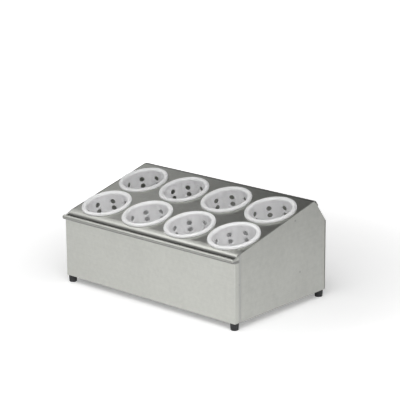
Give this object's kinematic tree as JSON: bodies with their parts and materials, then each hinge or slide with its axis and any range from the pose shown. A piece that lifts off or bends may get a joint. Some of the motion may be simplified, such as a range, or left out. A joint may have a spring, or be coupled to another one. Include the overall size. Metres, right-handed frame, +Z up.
{
  "type": "cutlery dispenser",
  "caption": "Countertop steel housing with a sloping top that holds rows of white perforated lift-out cups for knives, forks and spoons, on black rubber feet.",
  "frame": {"origin": "on the counter, under the middle of the housing's outer box (rolled bead included)", "axes": "+X to the right along the front, +Y from the front to the rear, +Z up"},
  "size_m": [0.5, 0.3088, 0.2249],
  "materials": {
    "housing_steel": "satin brushed",
    "cup_plastic": "smooth moulded, slight sheen",
    "foot_rubber": "matt",
    "fastener_steel": "plain"
  },
  "bodies": {
    "housing": {"front_panel": "housing_steel", "rear_panel": "housing_steel", "top_panel": "housing_steel", "side_panel_left": "housing_steel", "side_panel_right": "housing_steel", "foot_front_left": "foot_rubber", "foot_front_right": "foot_rubber", "foot_rear_left": "foot_rubber", "foot_rear_right": "foot_rubber", "foot_screw_front_left": "fastener_steel", "foot_screw_front_right": "fastener_steel", "foot_screw_rear_left": "fastener_steel", "foot_screw_rear_right": "fastener_steel", "foot_washer_front_left": "fastener_steel", "foot_washer_front_right": "fastener_steel", "foot_washer_rear_left": "fastener_steel", "foot_washer_rear_right": "fastener_steel", "foot_nut_front_left": "fastener_steel", "foot_nut_front_right": "fastener_steel", "foot_nut_rear_left": "fastener_steel", "foot_nut_rear_right": "fastener_steel"},
    "cup_front_1": {"cup_front_1": "cup_plastic"},
    "cup_front_2": {"cup_front_2": "cup_plastic"},
    "cup_front_3": {"cup_front_3": "cup_plastic"},
    "cup_front_4": {"cup_front_4": "cup_plastic"},
    "cup_rear_1": {"cup_rear_1": "cup_plastic"},
    "cup_rear_2": {"cup_rear_2": "cup_plastic"},
    "cup_rear_3": {"cup_rear_3": "cup_plastic"},
    "cup_rear_4": {"cup_rear_4": "cup_plastic"}
  },
  "joints": [
    {"name": "cup_front_1_lift", "type": "slide", "parent": "housing", "child": "cup_front_1", "axis": [0, -0.2419, 0.9703], "range_m": [0, 0.15]},
    {"name": "cup_front_2_lift", "type": "slide", "parent": "housing", "child": "cup_front_2", "axis": [0, -0.2419, 0.9703], "range_m": [0, 0.15]},
    {"name": "cup_front_3_lift", "type": "slide", "parent": "housing", "child": "cup_front_3", "axis": [0, -0.2419, 0.9703], "range_m": [0, 0.15]},
    {"name": "cup_front_4_lift", "type": "slide", "parent": "housing", "child": "cup_front_4", "axis": [0, -0.2419, 0.9703], "range_m": [0, 0.15]},
    {"name": "cup_rear_1_lift", "type": "slide", "parent": "housing", "child": "cup_rear_1", "axis": [0, -0.2419, 0.9703], "range_m": [0, 0.15]},
    {"name": "cup_rear_2_lift", "type": "slide", "parent": "housing", "child": "cup_rear_2", "axis": [0, -0.2419, 0.9703], "range_m": [0, 0.15]},
    {"name": "cup_rear_3_lift", "type": "slide", "parent": "housing", "child": "cup_rear_3", "axis": [0, -0.2419, 0.9703], "range_m": [0, 0.15]},
    {"name": "cup_rear_4_lift", "type": "slide", "parent": "housing", "child": "cup_rear_4", "axis": [0, -0.2419, 0.9703], "range_m": [0, 0.15]}
  ]
}
